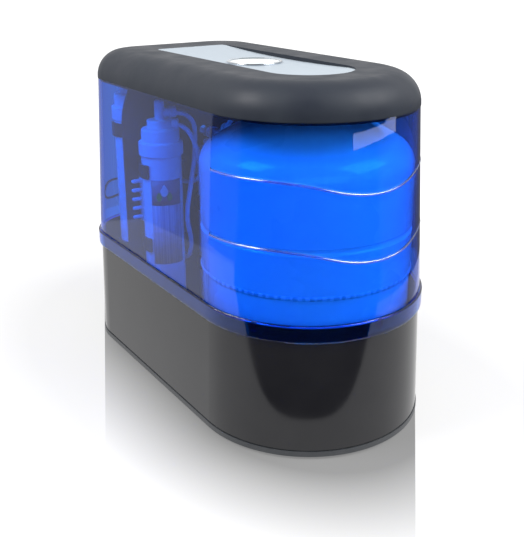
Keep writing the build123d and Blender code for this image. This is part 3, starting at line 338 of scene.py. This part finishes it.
def clear_blue(name, gloss):
    """Clear plastic that colours light by the length of its way through; gloss adds a share of shine."""
    made, tree, shader = material(name)
    tune(shader, Base_Color=(1, 1, 1, 1), Transmission_Weight=1.0, Roughness=0.0, IOR=cover_index)
    bump(tree, shader, noise(tree, sway_scale, sway_detail), sway_strength, sway_depth)
    shine = add(tree, "ShaderNodeBsdfGlossy", Roughness=skin_rough)
    skin = feed(tree, add(tree, "ShaderNodeMixShader"), gloss, shader.outputs[0], shine.outputs[0])[0]
    path = add(tree, "ShaderNodeLightPath")
    open_way = add(tree, "ShaderNodeBsdfTransparent")
    surface = feed(tree, add(tree, "ShaderNodeMixShader"), path.outputs["Is Shadow Ray"], skin,
                   open_way.outputs[0])[0]
    losses = [-log(share) / (cover_wall * millimetre) for share in wall_tint]
    density = max(losses)
    left = (*[1 - loss / density for loss in losses], 1)
    absorb = add(tree, "ShaderNodeVolumeAbsorption", Color=left, Density=density)
    result = tree.nodes["Material Output"]
    tree.links.new(surface, result.inputs["Surface"])
    tree.links.new(absorb.outputs[0], result.inputs["Volume"])
    return made


def brushed(name, colour, other, rough):
    """Metal or lacquer with fine lines along the part's length."""
    made, tree, shader = material(name)
    lines = drawn_out_noise(tree, brushed_scales, brushed_detail)
    gloss = spread(tree, lines, rough * (1 - brushed_swing), rough * (1 + brushed_swing))
    tree.links.new(two_tone(tree, lines, colour, other), shader.inputs["Base Color"])
    tree.links.new(gloss, shader.inputs["Roughness"])
    bump(tree, shader, lines, brushed_strength, grain_depth)
    tune(shader, Metallic=brushed_metal)
    return made


def striped(name, colour, other, rough):
    """A printed film with upright stripes."""
    made, tree, shader = material(name)
    lines = drawn_out_noise(tree, stripe_scales, stripe_detail)
    tree.links.new(two_tone(tree, lines, colour, other), shader.inputs["Base Color"])
    tune(shader, Roughness=rough)
    return made


# Looks: two linear colours, roughness, then what differs from a plain moulded surface
looks = {
    "clear_blue": clear_blue("clear_blue", 0.0),
    "wave_gloss": clear_blue("wave_gloss", skin_gloss),
    "shell_grey": plain("shell_grey", (0.008, 0.008, 0.010), (0.011, 0.011, 0.013), 0.12, scale=20.0),
    "lid_grey": plain("lid_grey", (0.012, 0.015, 0.023), (0.015, 0.019, 0.027), 0.5,
                      scale=30.0, grain=1500.0, depth=0.00003, ior=1.31),
    "panel_silver": brushed("panel_silver", (0.34, 0.39, 0.44), (0.39, 0.44, 0.49), 0.5),
    "badge_pearl": plain("badge_pearl", (0.62, 0.72, 0.76), (0.74, 0.83, 0.86), 0.08, scale=35.0, coat=1.0),
    "bright_trim": plain("bright_trim", (0.45, 0.48, 0.52), (0.55, 0.57, 0.6), 0.15, metal=1.0),
    "tank_white": plain("tank_white", (0.74, 0.75, 0.82), (0.80, 0.81, 0.86), 0.28,
                        scale=12.0, grain=350.0, depth=0.0001, coat=1.0),
    "weld_dull": plain("weld_dull", (0.36, 0.40, 0.45), (0.62, 0.66, 0.70), 0.5,
                       scale=120.0, grain=500.0, depth=0.0004),
    "filter_white": plain("filter_white", (0.80, 0.83, 0.87), (0.86, 0.88, 0.91), 0.25),
    "head_white": plain("head_white", (0.76, 0.80, 0.85), (0.83, 0.86, 0.9), 0.4),
    "fitting_white": plain("fitting_white", (0.78, 0.81, 0.84), (0.85, 0.87, 0.9), 0.35),
    "tube_white": plain("tube_white", (0.70, 0.75, 0.82), (0.78, 0.82, 0.88), 0.3),
    "clip_black": plain("clip_black", (0.016, 0.016, 0.020), (0.026, 0.026, 0.03), 0.4),
    "chassis_grey": plain("chassis_grey", (0.020, 0.022, 0.03), (0.03, 0.032, 0.04), 0.4),
    "base_dark": plain("base_dark", (0.03, 0.033, 0.038), (0.045, 0.048, 0.053), 0.45),
    "rubber_black": plain("rubber_black", (0.015, 0.015, 0.016), (0.025, 0.025, 0.026), 0.6),
    "steel": plain("steel", (0.5, 0.51, 0.53), (0.6, 0.61, 0.62), 0.25, metal=1.0),
    "brass": plain("brass", (0.60, 0.45, 0.20), (0.7, 0.55, 0.26), 0.25, metal=1.0),
    "motor_steel": plain("motor_steel", (0.08, 0.08, 0.085), (0.12, 0.12, 0.125), 0.35),
    "magnet": plain("magnet", (0.06, 0.06, 0.065), (0.09, 0.09, 0.095), 0.6),
    "carbon": plain("carbon", (0.015, 0.015, 0.015), (0.03, 0.03, 0.03), 0.8, grain=600.0, depth=0.0005),
    "label_dark": plain("label_dark", (0.15, 0.16, 0.24), (0.19, 0.20, 0.28), 0.3),
    "label_pale": striped("label_pale", (0.22, 0.24, 0.34), (0.50, 0.52, 0.60), 0.35),
    "print_pale": plain("print_pale", (0.62, 0.75, 0.72), (0.7, 0.82, 0.8), 0.3),
    "print_green": plain("print_green", (0.02, 0.30, 0.03), (0.04, 0.40, 0.05), 0.35),
    "handle_blue": plain("handle_blue", (0.03, 0.10, 0.45), (0.05, 0.14, 0.55), 0.3),
    "collet_blue": plain("collet_blue", (0.03, 0.12, 0.45), (0.05, 0.16, 0.55), 0.35),
}
slot_of = {entry["node"]: entry["material_slot"] for entry in frame["record"]["subparts"]}
for name, node in nodes.items():
    node.data.materials.clear()
    node.data.materials.append(looks[slot_of[name]])


def placed(name, data, look):
    """A new object in the scene with one material."""
    data.materials.append(look)
    made = bpy.data.objects.new(name, data)
    bpy.context.scene.collection.objects.link(made)
    return made


def new_mesh(name, points, faces, look, smooth=True):
    """An object made of points in millimetres."""
    mesh = bpy.data.meshes.new(name)
    mesh.from_pydata([[c * millimetre for c in place] for place in points], [], faces)
    for polygon in mesh.polygons:
        polygon.use_smooth = smooth
    return placed(name, mesh, look)


def round_line(name, kind, points, radius, rounding):
    """A round line along points in millimetres: its data and its spline."""
    curve = bpy.data.curves.new(name, "CURVE")
    curve.dimensions = "3D"
    curve.bevel_depth = radius * millimetre
    curve.bevel_resolution = rounding
    line = curve.splines.new(kind)
    line.points.add(len(points) - 1)
    for target, place in zip(line.points, points):
        target.co = (*[c * millimetre for c in place], 1)
    return curve, line


def smooth_tube(name, points, radius, rounding, steps, look):
    """A tube with closed ends on one smooth curve along points in millimetres."""
    curve, line = round_line(name, "NURBS", points, radius, rounding)
    curve.resolution_u = steps
    curve.use_fill_caps = True
    line.order_u = curve_order
    line.use_endpoint_u = True
    return placed(name, curve, look)


def tube_piece(node, points, radius, slot):
    """A smooth tube through a given route that stands for a node."""
    piece = smooth_tube(node + "_smooth", points, radius, tube_rounding, tube_steps, looks[slot])
    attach(piece, "base")
    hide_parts(node)


for node, points in tube_points.items():
    lead = node == "power_lead"
    tube_piece(node, points, lead_radius if lead else tube_radius, slot_of[node])


def wrapped_patch(name, outline_rows, radius, thickness, look):
    """A closed thin patch that lies round cartridge A. Each row is (z, first heading, last heading)."""
    points = []
    faces = []
    for skin in (radius, radius + thickness):
        for z, first, last in outline_rows:
            for step in range(patch_steps + 1):
                heading = radians(first + (last - first) * step / patch_steps)
                points.append((filter_a[0] + skin * cos(heading), filter_a[1] + skin * sin(heading), z))
    wide = patch_steps + 1
    rows = len(outline_rows)
    back = rows * wide
    for row in range(rows - 1):
        for step in range(patch_steps):
            corner = row * wide + step
            faces.append((corner, corner + wide, corner + wide + 1, corner + 1))
            faces.append((back + corner, back + corner + 1, back + corner + wide + 1, back + corner + wide))
        left = row * wide
        right = left + patch_steps
        faces.append((left, back + left, back + left + wide, left + wide))
        faces.append((right, right + wide, back + right + wide, back + right))
    for step in range(patch_steps):
        top = (rows - 1) * wide + step
        faces.append((step, step + 1, back + step + 1, back + step))
        faces.append((top, back + top, back + top + 1, top + 1))
    made = new_mesh(name, points, faces, look)
    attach(made, "cartridge_a")


def round_rows(z, heading, half_height, half_turn, pinch):
    """Rows of a rounded spot; pinch above zero draws its upper end to a point."""
    rows = []
    for step in range(spot_rows + 1):
        share = -1 + 2 * step / spot_rows
        width = half_turn * sqrt(max(0.0, 1 - share * share)) * (1 - pinch * max(0.0, share))
        rows.append((z + half_height * share, heading - width - edge_turn, heading + width + edge_turn))
    return rows


def band_rows(low, high):
    """Rows of a band across the whole label."""
    return [(z, label_heading - label_half_turn, label_heading + label_half_turn) for z in (low, high)]


# Label round the first cartridge: a dark band above, a pale striped one below, a drop and two leaves
label_radius = cartridge_radius + label_lift
print_radius = label_radius + label_thickness
wrapped_patch("label_lower", band_rows(label_low, label_split), label_radius, label_thickness,
              looks["label_pale"])
wrapped_patch("label_upper", band_rows(label_split, label_high), label_radius, label_thickness,
              looks["label_dark"])
drop_rows = round_rows(drop_level, drop_heading, drop_height / 2, drop_half_turn, drop_pinch)
wrapped_patch("label_drop", drop_rows, print_radius, print_thickness, looks["print_pale"])
for number, side in enumerate((-1, 1)):
    leaf_rows = round_rows(drop_level - drop_height / 2, drop_heading + side * leaf_turn, leaf_height / 2,
                           leaf_half_turn, leaf_pinch)
    wrapped_patch("label_leaf_%d" % number, leaf_rows, print_radius, print_thickness, looks["print_green"])

# A black lead tied in a loop behind the rear filter set
tied_lead = smooth_tube("tied_lead", tied_lead_points, tied_lead_radius, tied_lead_rounding,
                        tied_lead_steps, looks["rubber_black"])
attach(tied_lead, "base")


def cover_reach(z):
    """Radius of the cover's outer skin round the nose at a level."""
    share = (z - cover_low_level) / (cover_high_level - cover_low_level)
    return nose_radius + cover_low_out + (cover_high_out - cover_low_out) * share


def wave_level(x, level):
    """Level of a wave line at a distance from the middle: two arcs on either side of the dip."""
    half = wave_half_span / 2
    away = abs(x)
    bend = (half * half + wave_dip * wave_dip / 4) / wave_dip
    if away <= half:
        return level - wave_dip + bend - sqrt(bend * bend - away * away)
    if away < wave_half_span:
        return level - bend + sqrt(bend * bend - (away - wave_half_span) ** 2)
    return level


def wave_bead(name, level):
    """A fine rounded lip along the lower edge of a wave groove."""
    points = []
    for step in range(bead_steps + 1):
        heading = pi + pi * step / bead_steps
        z = level
        for _ in range(bead_rounds):
            reach = cover_reach(z) - bead_depth
            z = wave_level(reach * cos(heading), level) - bead_drop
        points.append((reach * cos(heading), nose_y + reach * sin(heading), z))
    curve, _ = round_line(name, "POLY", points, bead_radius, bead_rounding)
    piece = placed(name, curve, looks["wave_gloss"])
    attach(piece, "cover")


for name, level in wave_levels.items():
    wave_bead(name, level)


def weld_ripples():
    """The overlapping ripples of the weld round the tank, over the plain bead."""
    points = []
    faces = []
    for step in range(weld_steps):
        turn = 2 * pi * step / weld_steps
        first = sin(turn * weld_ripple_count)
        second = sin(turn * weld_ripple_count * second_ripple_pace + second_ripple_start)
        ripple = first + second_ripple_height * second
        for part in range(weld_sides):
            around = 2 * pi * part / weld_sides
            reach = weld_radius + (weld_half_depth + weld_ripple * ripple) * cos(around)
            z = weld_level + (weld_half_height + weld_ripple * ripple) * sin(around)
            points.append((reach * cos(turn), nose_y + reach * sin(turn), z))
    for step in range(weld_steps):
        after = (step + 1) % weld_steps
        for part in range(weld_sides):
            beside = (part + 1) % weld_sides
            faces.append((step * weld_sides + part, after * weld_sides + part,
                          after * weld_sides + beside, step * weld_sides + beside))
    made = new_mesh("weld_ripples", points, faces, looks["weld_dull"])
    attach(made, "base")


weld_ripples()


def glowing(name, strength):
    """A surface that only shows its own light."""
    made = bpy.data.materials.new(name)
    made.use_nodes = True
    tree = made.node_tree
    tree.nodes.clear()
    glow = add(tree, "ShaderNodeEmission", Strength=strength)
    result = add(tree, "ShaderNodeOutputMaterial")
    tree.links.new(glow.outputs[0], result.inputs["Surface"])
    return made


def card(name, pairs, strength):
    """A card seen only in gloss and through the cover, from pairs of edge points in metres."""
    corners = [[c / millimetre for c in place] for pair in pairs for place in pair]
    faces = [(2 * n, 2 * n + 1, 2 * n + 3, 2 * n + 2) for n in range(len(pairs) - 1)]
    made = new_mesh(name, corners, faces, glowing(name, strength), False)
    made.visible_camera = False
    made.visible_diffuse = False
    made.visible_shadow = False


def flat(edges, level):
    """Pairs of edge points in metres, all at one level."""
    return [[(x, y, level) for x, y in pair] for pair in edges]


def sector(near, far, first, last, low, high, bow):
    """Pairs of points in metres along two arcs round the nose; bow draws the ends of the near arc out."""
    pairs = []
    centre_y = nose_y * millimetre
    for step in range(sector_steps + 1):
        turn = radians(first + (last - first) * step / sector_steps)
        start = near + bow * abs(2 * step / sector_steps - 1) ** bow_power
        pairs.append(((start * cos(turn), centre_y + start * sin(turn), low),
                      (far * cos(turn), centre_y + far * sin(turn), high)))
    return pairs


def case_distance(tree, across, along):
    """Distance on the floor from the case's middle line; past its ends, lengthwise parts count less."""
    nearest = feed(tree, add(tree, "ShaderNodeClamp"), along, nose_y * millimetre,
                   rear_centre_y * millimetre)[0]
    beyond = maths(tree, "SUBTRACT", along, nearest)
    counted = maths(tree, "MULTIPLY", beyond, end_share)
    joined = feed(tree, add(tree, "ShaderNodeCombineXYZ"), across, counted)[0]
    return vector_maths(tree, "LENGTH", joined)["Value"]


def between_headings(tree, place):
    """One between the two headings from the foot point of the painted reflection, and zero elsewhere."""
    foot = (painted_reflection_foot[0] * millimetre, painted_reflection_foot[1] * millimetre, 0)
    offset = vector_maths(tree, "SUBTRACT", place, foot)["Vector"]
    parts = feed(tree, add(tree, "ShaderNodeSeparateXYZ"), offset)
    heading = maths(tree, "ARCTAN2", parts["Y"], parts["X"])
    middle = radians(sum(painted_reflection_headings) / 2)
    half = radians((painted_reflection_headings[1] - painted_reflection_headings[0]) / 2)
    return maths(tree, "COMPARE", heading, middle, half)


def floor_material():
    """White floor with a soft shadow, light of its own that is dimmer near the case as painted shade, and a
    painted reflection: a grey tone that fades away from the case.
    """
    made, tree, shader = material("floor_white")
    tune(shader, Base_Color=(floor_white, floor_white, floor_white, 1), Roughness=1.0,
         Specular_IOR_Level=0.0)
    place = add(tree, "ShaderNodeTexCoord").outputs["Object"]
    parts = feed(tree, add(tree, "ShaderNodeSeparateXYZ"), place)
    distance = case_distance(tree, parts["X"], parts["Y"])
    # painted shade: the floor's own light rises from its lower level near the case to full far away
    light = ranged(tree, distance, painted_reflection_reach * millimetre, far_glow_reach * millimetre,
                   near_glow_painted_shade, far_glow)
    glow = add(tree, "ShaderNodeEmission")
    tree.links.new(light, glow.inputs["Strength"])
    white = feed(tree, add(tree, "ShaderNodeAddShader"), shader.outputs[0], glow.outputs[0])[0]
    # painted reflection of the case: a grey tone mixed into the floor, strongest by the case and fading
    # away, between two headings
    grey = add(tree, "ShaderNodeEmission", Strength=painted_reflection_tone)
    fade = ranged(tree, distance, case_reach * millimetre, painted_reflection_reach * millimetre, painted_reflection_share, 0.0)
    share = maths(tree, "MULTIPLY", fade, between_headings(tree, place))
    surface = feed(tree, add(tree, "ShaderNodeMixShader"), share, white, grey.outputs[0])[0]
    tree.links.new(surface, tree.nodes["Material Output"].inputs["Surface"])
    return made


bpy.ops.mesh.primitive_plane_add(size=floor_size)
floor = bpy.context.object
floor.name = "floor"
floor.visible_glossy = False
floor.visible_transmission = False
floor.data.materials.append(floor_material())

# Cards for gloss and the view through the cover: far floor, near floor, sides, dark room, far window
far_edges = [((x, -far_reach), (x, far_reach)) for x in (-far_reach, far_reach)]
card("far_card", flat(far_edges, far_card_level), far_card_light)
card("near_card", flat(near_card_edges, near_card_level), near_card_light)
for name, (*ring, strength) in ring_cards.items():
    card(name, sector(*ring), strength)


def studio_world():
    """A white background in the picture, in gloss and through clear parts, and dimmer light from it."""
    world = bpy.data.worlds.new("studio")
    bpy.context.scene.world = world
    world.use_nodes = True
    tree = world.node_tree
    path = add(tree, "ShaderNodeLightPath")
    seen = maths(tree, "MAXIMUM", path.outputs["Is Camera Ray"], path.outputs["Is Transmission Ray"])
    shown = maths(tree, "MAXIMUM", seen, path.outputs["Is Glossy Ray"])
    back = tree.nodes["Background"]
    tune(back, Color=(1, 1, 1, 1))
    tree.links.new(ranged(tree, shown, 0.0, 1.0, room_light, 1.0), back.inputs["Strength"])


studio_world()


def softbox(name, heading, elevation, distance, width, height, brightness, in_gloss):
    """A soft window lamp seen from the tank's shoulder along a heading and an elevation."""
    turn = radians(heading)
    rise = radians(elevation)
    away = Vector((cos(turn) * cos(rise), sin(turn) * cos(rise), sin(rise)))
    aim = Vector((0, nose_y * millimetre, lamp_aim))
    data = bpy.data.lights.new(name, "AREA")
    data.shape = "RECTANGLE"
    data.size = width
    data.size_y = height
    data.energy = brightness * pi * width * height
    made = bpy.data.objects.new(name, data)
    made.location = aim + away * distance
    made.rotation_mode = "QUATERNION"
    made.rotation_quaternion = away.to_track_quat("Z", "Y")
    made.visible_glossy = in_gloss
    bpy.context.scene.collection.objects.link(made)


for name, lamp in lamps.items():
    softbox(name, *lamp)

# Camera
turn = radians(camera_azimuth)
rise = radians(camera_elevation)
toward = Vector((sin(turn) * cos(rise), -cos(turn) * cos(rise), sin(rise)))
data = bpy.data.cameras.new("camera")
data.sensor_width = sensor
data.lens = focal_pixels * sensor / image_height
data.shift_y = shift_pixels / image_height
camera = bpy.data.objects.new("camera", data)
camera.location = (Vector(camera_target) + toward * camera_distance) * millimetre
camera.rotation_mode = "QUATERNION"
roll = Quaternion((0, 0, 1), radians(camera_roll))
camera.rotation_quaternion = (-toward).to_track_quat("-Z", "Y") @ roll
bpy.context.scene.collection.objects.link(camera)
bpy.context.scene.camera = camera
bpy.context.scene.view_settings.view_transform = "Standard"
